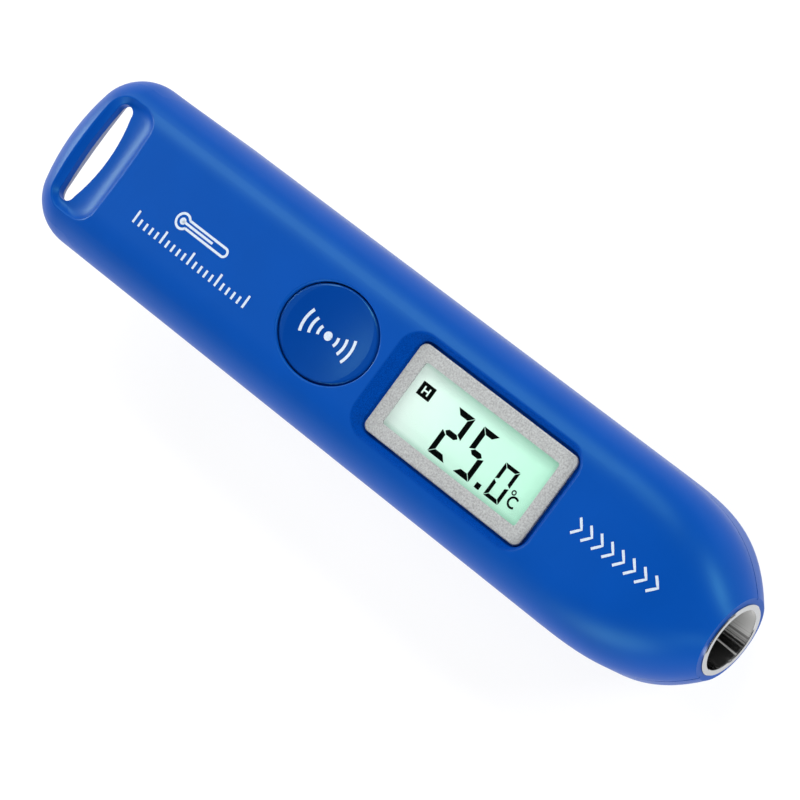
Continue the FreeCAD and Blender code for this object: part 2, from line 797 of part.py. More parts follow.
CAP_HEIGHT = 0.4
CAN_HEIGHT = 5.0


def build_cell(label, x, can_up):
    """Button cell as a can, a raised cap and the sealing ring between them."""
    low = dim("cell_bottom")
    high = low + dim("cell_height")
    can_low = high - CAN_HEIGHT if can_up else low
    can = post(f"{label}_disc", x, 0, can_low, "dims.cell_radius", CAN_HEIGHT)
    outer_end = can_low + CAN_HEIGHT if can_up else can_low
    rounded(f"{label}_can", can, lambda edge: abs(middle_of(edge).z - outer_end) < 0.01
            and edge.Length > 20, 0.4)
    cap_low = low if can_up else high - CAP_HEIGHT
    post(f"{label}_cap", x, 0, cap_low, 4.3, CAP_HEIGHT)
    ring_low = can_low - 0.2 if can_up else can_low + CAN_HEIGHT
    ring = post(f"{label}_ring_disc", x, 0, ring_low, 5.2, 0.2)
    hole = post(f"{label}_ring_hole", x, 0, ring_low - 0.5, 4.3, 1.2)
    without(f"{label}_seal", ring, hole)


def build_contacts():
    under = dim("board_top") - dim("board_thickness")
    top = dim("cell_bottom") + dim("cell_height")
    for label, x in (("contact_positive", dim("cell_a_x")), ("contact_negative", dim("cell_b_x"))):
        leaf = block(f"{label}_leaf", (x - 3.5, x + 3.5), 1.6, (top, top + 0.3))
        foot = block(f"{label}_foot", (x - 3.5, x - 3.1), 1.6, (top, under))
        joined(label, [leaf, foot])
    door_top = dim("door_thickness")
    strip = block("bridge_strip", (dim("cell_a_x") - 2, dim("cell_b_x") + 2), 1.5,
                  (door_top, door_top + 0.3))
    bumps = []
    for index, x in enumerate((dim("cell_a_x"), dim("cell_b_x"))):
        bumps.append(post(f"bridge_bump_{index}", x, 0, door_top, 1.0, dim("cell_bottom") - door_top))
    joined("contact_bridge", [strip] + bumps)


GRIP_COUNT = 6
GRIP_PITCH = 1.1
GRIP_DEPTH = 0.3


def build_door():
    """Sliding battery door with side tongues and finger ribs at the tail end."""
    body = new_body("battery_door")
    start, end = dim("door_start"), dim("door_end")
    half = dim("door_width") / 2
    plate = sketch_on(body, "XY_Plane")
    add_rounded_rectangle(plate, (start, end), half, 0.5)
    pad(body, plate, "dims.door_thickness")
    low, high = TONGUE_RANGE
    tongue = sketch_on(body, "XY_Plane", low)
    near, far, wide = start + 1, end - 0.3, half + TONGUE_REACH
    add_lines(tongue, [(near, -wide), (far, -wide), (far, wide), (near, wide)])
    pad(body, tongue, str(high - low))
    ribs = sketch_on(body, "XY_Plane", GRIP_DEPTH)
    for index in range(GRIP_COUNT):
        x = start + 1.4 + index * GRIP_PITCH
        add_rounded_rectangle(ribs, (x, x + GRIP_PITCH / 2), 3.2, 0.25)
    pocket(body, ribs, through=True)


# ---------------------------------------------------------------- sensor and mirror cup

def turned(label, profile):
    """Solid turned about the nose axis from a closed line of (x, radius) points."""
    body = new_body(label)
    sketch = sketch_on(body, "XZ_Plane")
    axis = dim("axis_height")
    add_lines(sketch, [(x, axis + radius) for x, radius in profile])
    start = profile[0][0]
    sketch.addGeometry(Part.LineSegment(vec(start, axis), vec(start + 5, axis)), True)
    feature = body.newObject("PartDesign::Revolution", f"{label}_revolution")
    feature.Profile = sketch
    feature.ReferenceAxis = (sketch, ["Axis0"])
    feature.Angle = 360
    DOC.recompute()


def build_nose():
    start, end = dim("holder_start"), dim("holder_end")
    header, can_start, can_end = start + 0.2, start + 0.8, start + 3.6
    cup_start = can_end + 0.5
    holder, sleeve = dim("holder_radius"), dim("sleeve_radius")
    socket = sleeve + 0.05
    turned("sensor_holder", [(start, 2.75), (start, holder), (end, holder), (end, socket),
                             (cup_start, socket), (cup_start, 2.4), (can_start, 2.4), (can_start, 2.75)])
    turned("sensor_header", [(header, 0), (header, 2.7), (can_start, 2.7), (can_start, 0)])
    turned("sensor_can", [(can_start, 2.1), (can_start, 2.35), (can_end, 2.35), (can_end, 1.25),
                          (can_end - 0.25, 1.25), (can_end - 0.25, 2.1)])
    axial("sensor_filter", can_end - 0.5, can_end - 0.25, 1.9)
    axial("sensor_element", can_start, can_start + 0.5, 0.9)
    turned("sensor_gasket", [(can_end, 1.5), (can_end, 2.3), (cup_start, 2.3), (cup_start, 1.5)])
    face = dim("nose_end")
    tip = HALF_LENGTH
    ring, mouth = dim("ring_radius"), dim("mouth_radius")
    # The cup bulges a little between its throat and its mouth.
    cup_middle = (cup_start + tip) / 2
    cup_middle_radius = (dim("throat_radius") + mouth) / 2 + 0.3
    bevel = 0.08
    turned("nose_reflector", [(cup_start, dim("throat_radius")), (cup_start, sleeve), (face, sleeve),
                              (face, ring), (tip - bevel, ring), (tip, ring - bevel),
                              (tip, mouth + bevel), (tip - bevel, mouth), (cup_middle, cup_middle_radius)])
    socket_end = 24.0
    leads = []
    for index, (side, level) in enumerate(((1, 1), (1, -1), (-1, 1), (-1, -1))):
        leads.append(axial(f"lead_{index}", socket_end, header, 0.2, side * 0.7,
                           dim("axis_height") + level * 0.6))
    grouped("sensor_leads", leads)
    under = dim("board_top") - dim("board_thickness")
    block("sensor_socket", (socket_end - 3.0, socket_end), 2.0, (under - 2.4, under))


# ---------------------------------------------------------------- screws

def screw(label, x, y, seat, head_radius, head_height, end):
    """Pan-head screw that points up, with a cross recess in its head."""
    head = post(f"{label}_head", x, y, seat - head_height, head_radius, head_height)
    shank = post(f"{label}_shank", x, y, seat, SCREW_RADIUS, end - seat)
    whole = joined(f"{label}_whole", [head, shank])
    low = seat - head_height
    across = block(f"{label}_slot_x", (x - 0.8, x + 0.8), 0.15, (low - 0.5, low + 0.4), y)
    along = block(f"{label}_slot_y", (x - 0.15, x + 0.15), 0.8, (low - 0.5, low + 0.4), y)
    return without(label, whole, joined(f"{label}_cross", [across, along]))


def build_screws():
    seat = dim("screw_seat")
    screws = []
    for index, (x, y) in enumerate(SCREW_PLACES):
        screws.append(screw(f"case_screw_{index}", x, y, seat, 1.4, 0.9, SCREW_END))
    grouped("case_screws", screws)
    under = dim("board_top") - dim("board_thickness")
    screws = []
    for index, (x, y) in enumerate(BOARD_SCREW_PLACES):
        screws.append(screw(f"board_screw_{index}", x, y, under, 1.3, 0.6, BOARD_SCREW_END))
    grouped("board_screws", screws)


# ---------------------------------------------------------------- whole thermometer

build_front_case()
build_rear_case()
build_door()
build_button()
build_switch()
build_display()
build_board()
build_cell("cell_a", dim("cell_a_x"), True)
build_cell("cell_b", dim("cell_b_x"), False)
build_contacts()
build_nose()
build_screws()
DOC.recompute()

NODES = (
    "front_case", "rear_case", "battery_door", "measure_button", "switch_body", "switch_cover",
    "switch_plunger", "switch_pins", "lcd_bezel", "lcd_window", "lcd_holder", "lcd_front_glass",
    "lcd_rear_glass", "lcd_front_polariser", "lcd_rear_polariser", "light_guide", "backlight_lamp",
    "connector_strips", "main_board", "chip_blob", "clock_crystal", "capacitors", "resistors",
    "cell_a_can", "cell_a_cap", "cell_a_seal", "cell_b_can", "cell_b_cap", "cell_b_seal",
    "contact_positive", "contact_negative", "contact_bridge", "sensor_holder", "sensor_header",
    "sensor_can", "sensor_filter", "sensor_element", "sensor_gasket", "sensor_leads",
    "sensor_socket", "nose_reflector", "case_screws", "board_screws",
)

failed = [item.Name for item in DOC.Objects if {"Invalid", "Error"} & set(item.State)]
if failed:
    raise RuntimeError(f"objects left failed: {failed}")

os.makedirs("parts", exist_ok=True)
for name in NODES:
    shape = DOC.getObjectsByLabel(name)[0].Shape
    if shape.isNull() or not shape.isValid():
        raise RuntimeError(f"{name} has no valid shape")
    shape.exportStep(f"parts/{name}.step")
    print(name, round(shape.Volume, 2), len(shape.Solids))
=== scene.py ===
import math

import bmesh
import bpy
from mathutils import Matrix, Vector
from mathutils.bvhtree import BVHTree


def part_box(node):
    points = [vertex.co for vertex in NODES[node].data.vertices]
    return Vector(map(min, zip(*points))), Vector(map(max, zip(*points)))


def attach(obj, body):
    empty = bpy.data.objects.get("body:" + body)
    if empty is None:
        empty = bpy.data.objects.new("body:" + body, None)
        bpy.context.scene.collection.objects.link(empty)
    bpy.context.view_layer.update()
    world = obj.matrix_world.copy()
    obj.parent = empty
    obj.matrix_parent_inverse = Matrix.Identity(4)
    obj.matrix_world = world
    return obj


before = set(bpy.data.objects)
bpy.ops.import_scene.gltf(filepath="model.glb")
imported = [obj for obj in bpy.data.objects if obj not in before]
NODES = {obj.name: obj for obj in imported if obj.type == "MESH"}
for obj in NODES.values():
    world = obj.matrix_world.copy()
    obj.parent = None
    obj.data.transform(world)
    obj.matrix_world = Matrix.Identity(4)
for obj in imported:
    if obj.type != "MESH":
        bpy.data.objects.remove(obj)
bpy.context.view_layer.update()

MM = 0.001


# ---------------------------------------------------------------- places taken from the frame

def middle(node):
    """Middle of a CAD node's box, in millimetres."""
    low, high = (Vector(corner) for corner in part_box(node))
    return (low + high) / 2 / MM


BUTTON = middle("measure_button")
BEZEL = middle("lcd_bezel")
RING = middle("nose_reflector")
TAIL_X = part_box("front_case")[0][0] / MM
NOSE_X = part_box("front_case")[1][0] / MM
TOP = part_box("front_case")[1][2] / MM


# ---------------------------------------------------------------- material helpers

class Graph:
    """Short way to build a node material round the Principled shader."""

    def __init__(self, name):
        self.material = bpy.data.materials.new(name)
        self.material.use_nodes = True
        self.nodes = self.material.node_tree.nodes
        self.links = self.material.node_tree.links
        self.shader = self.nodes["Principled BSDF"]
        self.output = self.nodes["Material Output"]

    def add(self, kind, **values):
        node = self.nodes.new(kind)
        for key, value in values.items():
            setattr(node, key, value)
        return node

    def link(self, source, target):
        self.links.new(source, target)

    def drive(self, name, source):
        """Let source give the shader's input of this name."""
        self.link(source, self.shader.inputs[name])

    def set(self, **values):
        """Give the shader's inputs plain values, with _ for each space in their names."""
        for key, value in values.items():
            self.shader.inputs[key.replace("_", " ")].default_value = value

    def place(self):
        """Coordinates in the CAD frame, in millimetres."""
        coordinates = self.add("ShaderNodeTexCoord")
        scale = self.add("ShaderNodeVectorMath", operation="SCALE")
        scale.inputs["Scale"].default_value = 1 / MM
        self.link(coordinates.outputs["Object"], scale.inputs[0])
        return scale.outputs[0]

    def axes(self):
        """The X, Y and Z coordinates in the CAD frame, in millimetres."""
        node = self.add("ShaderNodeSeparateXYZ")
        self.link(self.place(), node.inputs[0])
        return [node.outputs[axis] for axis in "XYZ"]

    def noise(self, per_mm, detail=2.0, roughness=0.5):
        """Noise with this many spots per millimetre."""
        node = self.add("ShaderNodeTexNoise")
        node.inputs["Scale"].default_value = per_mm
        node.inputs["Detail"].default_value = detail
        node.inputs["Roughness"].default_value = roughness
        self.link(self.place(), node.inputs["Vector"])
        return node.outputs["Fac"]

    def ramp(self, source, *stops):
        """Colour ramp from (position, colour) stops."""
        node = self.add("ShaderNodeValToRGB")
        ramp = node.color_ramp
        while len(ramp.elements) < len(stops):
            ramp.elements.new(0.5)
        for element, (position, colour) in zip(ramp.elements, stops):
            element.position = position
            element.color = (*colour, 1.0)
        self.link(source, node.inputs["Fac"])
        return node.outputs["Color"]

    def mottle(self, per_mm, first, second):
        """Soft cloud between two colours."""
        return self.ramp(self.noise(per_mm), (0.3, first), (0.7, second))

    def span(self, source, low, high, to_low=0.0, to_high=1.0):
        """Source from low to high, mapped to the range from to_low to to_high and kept inside it."""
        node = self.add("ShaderNodeMapRange")
        node.inputs["From Min"].default_value = low
        node.inputs["From Max"].default_value = high
        node.inputs["To Min"].default_value = to_low
        node.inputs["To Max"].default_value = to_high
        self.link(source, node.inputs["Value"])
        return node.outputs["Result"]

    def blend(self, factor, first, second, kind="MIX"):
        """Two colours blended by factor, each of the three either a socket or a value."""
        node = self.add("ShaderNodeMix", data_type="RGBA", blend_type=kind)
        pairs = ((factor, node.inputs["Factor"]), (first, node.inputs[6]), (second, node.inputs[7]))
        for value, target in pairs:
            if isinstance(value, float):
                target.default_value = value
            elif isinstance(value, tuple):
                target.default_value = (*value, 1.0)
            else:
                self.link(value, target)
        return node.outputs[2]

    def maths(self, operation, first, second=0.0):
        node = self.add("ShaderNodeMath", operation=operation)
        for value, target in zip((first, second), node.inputs):
            if isinstance(value, (int, float)):
                target.default_value = value
            else:
                self.link(value, target)
        return node.outputs[0]

    def distance(self, source, place):
        """How far a coordinate is from a place, without its sign."""
        return self.maths("ABSOLUTE", self.maths("SUBTRACT", source, place))

    def bump(self, height, depth_mm):
        node = self.add("ShaderNodeBump")
        node.inputs["Strength"].default_value = 1.0
        node.inputs["Distance"].default_value = depth_mm * MM
        self.link(height, node.inputs["Height"])
        self.drive("Normal", node.outputs["Normal"])


def scaled(colour, factor):
    """Colour with each part times factor, and no part above 1."""
    return tuple(min(1.0, factor * part) for part in colour)


def paint(node, material):
    """Give a CAD node or a piece this material in every slot."""
    item = NODES[node] if isinstance(node, str) else node
    if not item.material_slots:
        item.data.materials.append(material)
    for entry in item.material_slots:
        entry.link = "OBJECT"
        entry.material = material


# ---------------------------------------------------------------- materials of the case and the button

BLUE = (0.001, 0.046, 0.263)
DEEP_BLUE = (0.0, 0.031, 0.198)
SHEEN_BLUE = (0.25, 1.0, 0.9, 1.0)

# Half length, half width and corner radius of the recess round the display, how far it lies from the
# middle of the bezel towards the tail, and how deep below the top it surely ends, in millimetres.
RECESS_HALF_LENGTH = 10.85
RECESS_HALF_WIDTH = 5.6
RECESS_CORNER = 2.4
RECESS_SHIFT = 0.35
RECESS_DEPTH = 2.5


def within_recess(graph):
    """1 on the front inside the rounded outline of the display recess, and 0 elsewhere."""
    x, y, z = graph.axes()
    sides = ((x, BEZEL.x - RECESS_SHIFT, RECESS_HALF_LENGTH), (y, BEZEL.y, RECESS_HALF_WIDTH))
    squares = []
    for source, centre, half in sides:
        past = graph.maths("SUBTRACT", graph.distance(source, centre), half - RECESS_CORNER)
        squares.append(graph.maths("POWER", graph.maths("MAXIMUM", past), 2.0))
    reach = graph.maths("SQRT", graph.maths("ADD", *squares))
    inside = graph.span(reach, RECESS_CORNER + 0.15, RECESS_CORNER - 0.1)
    front = graph.span(z, TOP - RECESS_DEPTH - 0.5, TOP - RECESS_DEPTH)
    return graph.maths("MULTIPLY", inside, front)


def blue_plastic():
    """Satin moulded plastic, with a darker, duller and speckled floor inside the display recess."""
    graph = Graph("case_blue_satin")
    sunk = within_recess(graph)
    cloud = graph.mottle(0.25, BLUE, scaled(BLUE, 1.05))
    grain = graph.noise(14.0, 3.0)
    speckle = graph.ramp(grain, (0.38, (0.0, 0.024, 0.171)), (0.62, (0.0, 0.046, 0.284)))
    graph.drive("Base Color", graph.blend(sunk, cloud, speckle))
    graph.drive("Roughness", graph.span(sunk, 0.0, 1.0, 0.39, 0.6))
    graph.drive("Specular IOR Level", graph.span(sunk, 0.0, 1.0, 0.15, 0.03))
    graph.bump(graph.noise(9.0, 3.0), 0.003)
    graph.set(Specular_Tint=SHEEN_BLUE)
    return graph.material


def button_plastic():
    """Glossier and darker than the case."""
    graph = Graph("button_blue_gloss")
    graph.drive("Base Color", graph.mottle(0.4, DEEP_BLUE, scaled(DEEP_BLUE, 1.03)))
    graph.bump(graph.noise(9.0, 3.0), 0.002)
    graph.set(Specular_IOR_Level=0.3, Specular_Tint=SHEEN_BLUE, Roughness=0.28)
    return graph.material


# ---------------------------------------------------------------- ordinary plastics and metals

def plain_plastic(name, colour, roughness, gloss=0.5):
    """Moulded plastic or rubber with a faint grain."""
    graph = Graph(name)
    graph.drive("Base Color", graph.mottle(0.8, colour, scaled(colour, 1.12)))
    uneven = graph.span(graph.noise(2.0), 0.3, 0.7, roughness - 0.04, roughness + 0.04)
    graph.drive("Roughness", uneven)
    graph.bump(graph.noise(6.0, 3.0), 0.004)
    graph.set(Specular_IOR_Level=gloss)
    return graph.material


def metal(name, colour, roughness):
    """Plain metal with an uneven polish and faint scratches."""
    graph = Graph(name)
    graph.drive("Base Color", graph.ramp(graph.noise(1.5), (0.35, colour), (0.65, scaled(colour, 1.08))))
    uneven = graph.span(graph.noise(3.0), 0.3, 0.7, roughness * 0.85, roughness * 1.15)
    graph.drive("Roughness", uneven)
    graph.bump(graph.noise(5.0), 0.002)
    graph.set(Metallic=1.0)
    return graph.material


# ---------------------------------------------------------------- materials of the nose and the display

# Distances from the nose axis, in millimetres, between which the polished ring gives way to the cup.
RING_SIDE = 3.16
CUP_SIDE = 3.1
# Values of the painted reflection at which the cup is darkest and brightest.
DARKEST = 0.42
BRIGHTEST = 0.66


def mirror_cup():
    """Polished ring round a cup whose colour is painted reflection and shade, streaky towards the sensor,
    dark towards negative Y and bright towards positive Y.
    """
    graph = Graph("mirror_chrome")
    _, y, z = graph.axes()
    level = graph.maths("SUBTRACT", z, RING.z)
    squares = graph.maths("ADD", graph.maths("POWER", y, 2.0), graph.maths("POWER", level, 2.0))
    inside = graph.span(graph.maths("SQRT", squares), RING_SIDE, CUP_SIDE)
    streaks = graph.add("ShaderNodeTexNoise", noise_dimensions="1D")
    streaks.inputs["Scale"].default_value = 5.0
    streaks.inputs["Detail"].default_value = 3.0
    graph.link(graph.maths("ARCTAN2", level, y), streaks.inputs["W"])
    # Painted reflection and shade: noise round the axis, leaned so that the cup is darker towards negative
    # Y and brighter towards positive Y.
    painted_reflection = graph.maths("ADD", streaks.outputs["Fac"], graph.maths("MULTIPLY", y, 0.14))
    shade = graph.ramp(painted_reflection, (DARKEST, (0.03, 0.03, 0.03)), (BRIGHTEST, (0.74, 0.74, 0.73)))
    graph.drive("Base Color", graph.blend(inside, (0.5, 0.51, 0.52), shade))
    # Where the painted reflection is bright, the cup is partly not metal, so that the lamps light it
    # there.
    less_metal_in_painted_reflection = graph.maths("MULTIPLY", inside, graph.span(painted_reflection, DARKEST, BRIGHTEST, 0.0, 0.55))
    graph.drive("Metallic", graph.maths("SUBTRACT", 1.0, less_metal_in_painted_reflection))
    graph.set(Roughness=0.14)
    return graph.material


def silver_speckle():
    """Sand-blasted silver paint of the display frame."""
    graph = Graph("silver_speckle")
    grain = graph.noise(6.0, 3.0, 0.7)
    silver = graph.ramp(grain, (0.36, (0.26, 0.265, 0.262)), (0.66, (0.43, 0.445, 0.445)))
    graph.drive("Base Color", silver)
    graph.bump(grain, 0.012)
    graph.set(Metallic=0.25, Roughness=0.5)
    return graph.material


def clear_lens():
    """Thin clear window that shows what is under it, and shines when seen at a slant."""
    graph = Graph("clear_lens")
    # The window mixes two plain shaders, so the Principled one isn't needed.
    graph.nodes.remove(graph.shader)
    clear = graph.add("ShaderNodeBsdfTransparent")
    clear.inputs["Color"].default_value = (0.985, 1.0, 0.99, 1.0)
    gloss = graph.add("ShaderNodeBsdfGlossy")
    gloss.inputs["Roughness"].default_value = 0.08
    facing = graph.add("ShaderNodeLayerWeight")
    facing.inputs["Blend"].default_value = 0.5
    mixer = graph.add("ShaderNodeMixShader")
    graph.link(graph.span(facing.outputs["Facing"], 0.5, 1.0, 0.01, 0.4), mixer.inputs[0])
    graph.link(clear.outputs[0], mixer.inputs[1])
    graph.link(gloss.outputs[0], mixer.inputs[2])
    graph.link(mixer.outputs[0], graph.output.inputs["Surface"])
    return graph.material


# Half length and half width of the part of the display that shows, in millimetres.
VIEW_HALF_LENGTH = 8.2
VIEW_HALF_WIDTH = 3.35
BLACK = (0.0, 0.0, 0.0)
WHITE = (1.0, 1.0, 1.0)


def display_green():
    """Lit background from nearly white to mint green, with painted shade that dims it at the long edges
    and the nose end, where the bezel shades it.
    """
    graph = Graph("display_green")
    x, y, _ = graph.axes()
    tail_end, nose_end = BEZEL.x - VIEW_HALF_LENGTH, BEZEL.x + VIEW_HALF_LENGTH
    colour = graph.ramp(graph.span(x, tail_end, nose_end),
                        (0.0, (0.84, 0.98, 0.93)), (0.35, (0.68, 0.98, 0.85)), (1.0, (0.52, 0.93, 0.73)))
    cloud = graph.mottle(0.6, (0.97, 0.97, 0.97), WHITE)
    off_y = graph.distance(y, BEZEL.y)
    # Painted shade: the lit background is dimmed in a band along the long edges and at the nose end, where
    # the bezel shades it.
    within = graph.maths("MULTIPLY", graph.span(x, nose_end, nose_end - 0.8),
                         graph.span(off_y, VIEW_HALF_WIDTH, VIEW_HALF_WIDTH - 0.5))
    painted_edge_shade = graph.ramp(within, (0.0, (0.66, 0.74, 0.71)), (1.0, WHITE))
    lit = graph.blend(1.0, graph.blend(1.0, colour, cloud, "MULTIPLY"), painted_edge_shade, "MULTIPLY")
    graph.drive("Emission Color", lit)
    graph.drive("Base Color", graph.blend(0.6, lit, BLACK))
    graph.set(Emission_Strength=0.525, Roughness=0.6)
    return graph.material


def white_print():
    graph = Graph("white_print")
    graph.drive("Base Color", graph.mottle(8.0, (0.40, 0.46, 0.54), (0.48, 0.55, 0.63)))
    graph.set(Roughness=0.5)
    return graph.material


def paint_nodes():
    """Give every CAD node its material."""
    materials = {
        blue_plastic(): ("front_case", "rear_case"),
        plain_plastic("door_blue_satin", BLUE, 0.45): ("battery_door",),
        button_plastic(): ("measure_button",),
        silver_speckle(): ("lcd_bezel",),
        clear_lens(): ("lcd_window",),
        display_green(): ("lcd_front_polariser",),
        plain_plastic("display_glass", (0.55, 0.68, 0.6), 0.12): (
            "lcd_front_glass", "lcd_rear_glass", "sensor_filter"),
        plain_plastic("grey_film", (0.3, 0.33, 0.3), 0.4): ("lcd_rear_polariser",),
        plain_plastic("white_moulding", (0.78, 0.79, 0.77), 0.5): (
            "lcd_holder", "light_guide", "switch_plunger", "sensor_socket", "cell_a_seal", "cell_b_seal"),
        plain_plastic("lamp_yellow", (0.85, 0.8, 0.5), 0.3): ("backlight_lamp",),
        plain_plastic("dark_rubber", (0.05, 0.05, 0.055), 0.75): ("connector_strips", "sensor_gasket"),
        plain_plastic("board_green", (0.01, 0.16, 0.06), 0.35): ("main_board",),
        plain_plastic("black_moulding", (0.02, 0.02, 0.022), 0.45): (
            "switch_body", "chip_blob", "resistors", "sensor_element", "sensor_holder"),
        plain_plastic("ceramic_tan", (0.5, 0.36, 0.22), 0.5): ("capacitors",),
        metal("bright_steel", (0.55, 0.56, 0.58), 0.22): (
            "switch_cover", "switch_pins", "clock_crystal", "cell_a_can", "cell_a_cap", "cell_b_can",
            "cell_b_cap", "contact_positive", "contact_negative", "contact_bridge", "sensor_can",
            "case_screws", "board_screws"),
        metal("gold_plate", (0.85, 0.62, 0.24), 0.2): ("sensor_header", "sensor_leads"),
        mirror_cup(): ("nose_reflector",),
    }
    for material, names in materials.items():
        for name in names:
            paint(name, material)


# ---------------------------------------------------------------- flat strokes, in millimetres

def ribbon(points, width):
    """Corner points, in order, of a flat stroke of constant width along a line of points."""
    left, right = [], []
    for index, point in enumerate(points):
        before = points[max(index - 1, 0)]
        after = points[min(index + 1, len(points) - 1)]
        along = (Vector(after) - Vector(before)).normalized()
        side = Vector((-along.y, along.x)) * width / 2
        left.append(Vector(point) + side)
        right.append(Vector(point) - side)
    return left + right[::-1]


def arc(centre, radius, start, end, steps):
    """Points of an arc between two angles in degrees."""
    x, y = centre
    turns = [math.radians(start + (end - start) * step / steps) for step in range(steps + 1)]
    return [(x + radius * math.cos(turn), y + radius * math.sin(turn)) for turn in turns]


def dot(centre, radius):
    """Filled circle, as a stroke as wide as its radius round a circle of half its radius."""
    return ribbon(arc(centre, radius / 2, 0, 360, steps=20), radius)


def bent_line(points, width, pieces=3):
    """Stroke along straight points, divided so that it can follow a curved surface."""
    dense = []
    for start, end in zip(points, points[1:]):
        for step in range(pieces):
            share = step / pieces
            dense.append([near + (far - near) * share for near, far in zip(start, end)])
    dense.append(points[-1])
    return ribbon(dense, width)


def strokes_to_mesh(name, outlines, base, height):
    """Closed thin solids on flat outlines, standing on z = base(x, y), which is in metres."""
    mesh = bmesh.new()
    for outline in outlines:
        count = len(outline)
        half = count // 2
        low = [mesh.verts.new((x * MM, y * MM, 0)) for x, y in outline]
        high = [mesh.verts.new((x * MM, y * MM, height * MM)) for x, y in outline]
        for index in range(count):
            following = (index + 1) % count
            mesh.faces.new((low[index], low[following], high[following], high[index]))
        for index in range(half - 1):
            far = count - 1 - index
            mesh.faces.new((high[index], high[index + 1], high[far - 1], high[far]))
            mesh.faces.new((low[far], low[far - 1], low[index + 1], low[index]))
    bmesh.ops.recalc_face_normals(mesh, faces=mesh.faces)
    for vertex in mesh.verts:
        vertex.co.z += base(vertex.co.x, vertex.co.y)
    data = bpy.data.meshes.new(name)
    mesh.to_mesh(data)
    mesh.free()
    piece = bpy.data.objects.new(name, data)
    bpy.context.scene.collection.objects.link(piece)
    return piece


def surface_of(node):
    """Height of a CAD node's upper surface at (x, y), all in metres."""
    tree = BVHTree.FromObject(NODES[node], bpy.context.evaluated_depsgraph_get())
    above = 0.1

    def height(x, y):
        hit = tree.ray_cast(Vector((x, y, above)), Vector((0, 0, -1)))
        return hit[0].z

    return height


# ---------------------------------------------------------------- marks printed on the case and the button

PRINT_HEIGHT = 0.02
PRINT_STROKE = 0.24

# Thermometer pictogram: distances from the tail end, and radii.
BULB_PLACE = 17.1
BULB_RADIUS = 0.75
BULB_CORE = 0.34
COLUMN_END = 21.1
TUBE_END = 22.6
TUBE_HALF_WIDTH = 0.42

# Row of scale marks under it: its ends' distances from the tail end, its base line and its heights.
SCALE_START = 12.7
SCALE_END = 27.6
SCALE_MARKS = 21
SCALE_BASE = -2.95
SHORT_MARK = 0.75
TALL_MARK = 1.3
TALL_EVERY = 5


def pictogram():
    """Strokes of a thermometer, with a column that starts in its bulb."""
    bulb = (TAIL_X + BULB_PLACE, 0.0)
    tube_end = TAIL_X + TUBE_END
    opening = math.degrees(math.asin(TUBE_HALF_WIDTH / BULB_RADIUS))
    tube_start = bulb[0] + BULB_RADIUS * math.cos(math.radians(opening))
    marks = [ribbon(arc(bulb, BULB_RADIUS, opening, 360 - opening, steps=28), PRINT_STROKE)]
    for y in (TUBE_HALF_WIDTH, -TUBE_HALF_WIDTH):
        marks.append(ribbon([(tube_start, y), (tube_end, y)], PRINT_STROKE))
    marks.append(ribbon(arc((tube_end, 0.0), TUBE_HALF_WIDTH, -90, 90, steps=14), PRINT_STROKE))
    marks.append(ribbon([bulb, (TAIL_X + COLUMN_END, 0.0)], PRINT_STROKE))
    marks.append(dot(bulb, BULB_CORE))
    return marks


def scale_marks():
    """Row of upright strokes, of which each fifth is taller."""
    pitch = (SCALE_END - SCALE_START) / (SCALE_MARKS - 1)
    marks = []
    for index in range(SCALE_MARKS):
        x = TAIL_X + SCALE_START + index * pitch
        height = SHORT_MARK if index % TALL_EVERY else TALL_MARK
        marks.append(ribbon([(x, SCALE_BASE), (x, SCALE_BASE + height)], PRINT_STROKE))
    return marks


def tail_print():
    """Thermometer pictogram above a row of scale marks."""
    marks = pictogram() + scale_marks()
    return strokes_to_mesh("print_tail", marks, surface_of("front_case"), PRINT_HEIGHT)


# Chevrons: the first one's distance from the nose end, their number, pitch, middle line and size.
CHEVRON_PLACE = 14.6
CHEVRONS = 8
CHEVRON_PITCH = 1.22
CHEVRON_MIDDLE = 0.05
CHEVRON_HALF_HEIGHT = 0.8
CHEVRON_DEPTH = 0.7


def nose_print():
    """Row of chevrons that points out of the nose."""
    upper, lower = CHEVRON_MIDDLE + CHEVRON_HALF_HEIGHT, CHEVRON_MIDDLE - CHEVRON_HALF_HEIGHT
    marks = []
    for index in range(CHEVRONS):
        x = NOSE_X - CHEVRON_PLACE + index * CHEVRON_PITCH
        points = [(x, upper), (x + CHEVRON_DEPTH, CHEVRON_MIDDLE), (x, lower)]
        marks.append(bent_line(points, PRINT_STROKE))
    return strokes_to_mesh("print_nose", marks, surface_of("front_case"), PRINT_HEIGHT)


# Sign on the button: how far it lies below the button's middle, its dot and its arcs.
SIGN_DROP = 0.2
SIGN_DOT = 0.44
SIGN_RADII = (1.1, 2.0, 2.9)
SIGN_HALF_ANGLE = 24
SIGN_STROKE = 0.3


def button_print():
    """Dot between two sets of arcs, like waves going out."""
    centre = (BUTTON.x, BUTTON.y - SIGN_DROP)
    marks = [dot(centre, SIGN_DOT)]
    for radius in SIGN_RADII:
        for side in (0, 180):
            line = arc(centre, radius, side - SIGN_HALF_ANGLE, side + SIGN_HALF_ANGLE, steps=14)
            marks.append(ribbon(line, SIGN_STROKE))
    return strokes_to_mesh("print_button", marks, surface_of("measure_button"), PRINT_HEIGHT)


# ---------------------------------------------------------------- dark segments on the display

INK_HEIGHT = 0.02
SEGMENT_GAP = 0.045


def outer_bar(start, end, outward, stroke, reach):
    """Corner points of a bar whose outer side is the longer one and goes on by reach past its end."""
    start, end = Vector(start), Vector(end)
    along = (end - start).normalized()
    side = Vector(outward) * stroke / 2
    first, last = start + along * SEGMENT_GAP, end - along * SEGMENT_GAP
    cut = along * stroke / 2
    return [first + side - cut, last + side + along * reach, last - side - cut, first - side + cut]


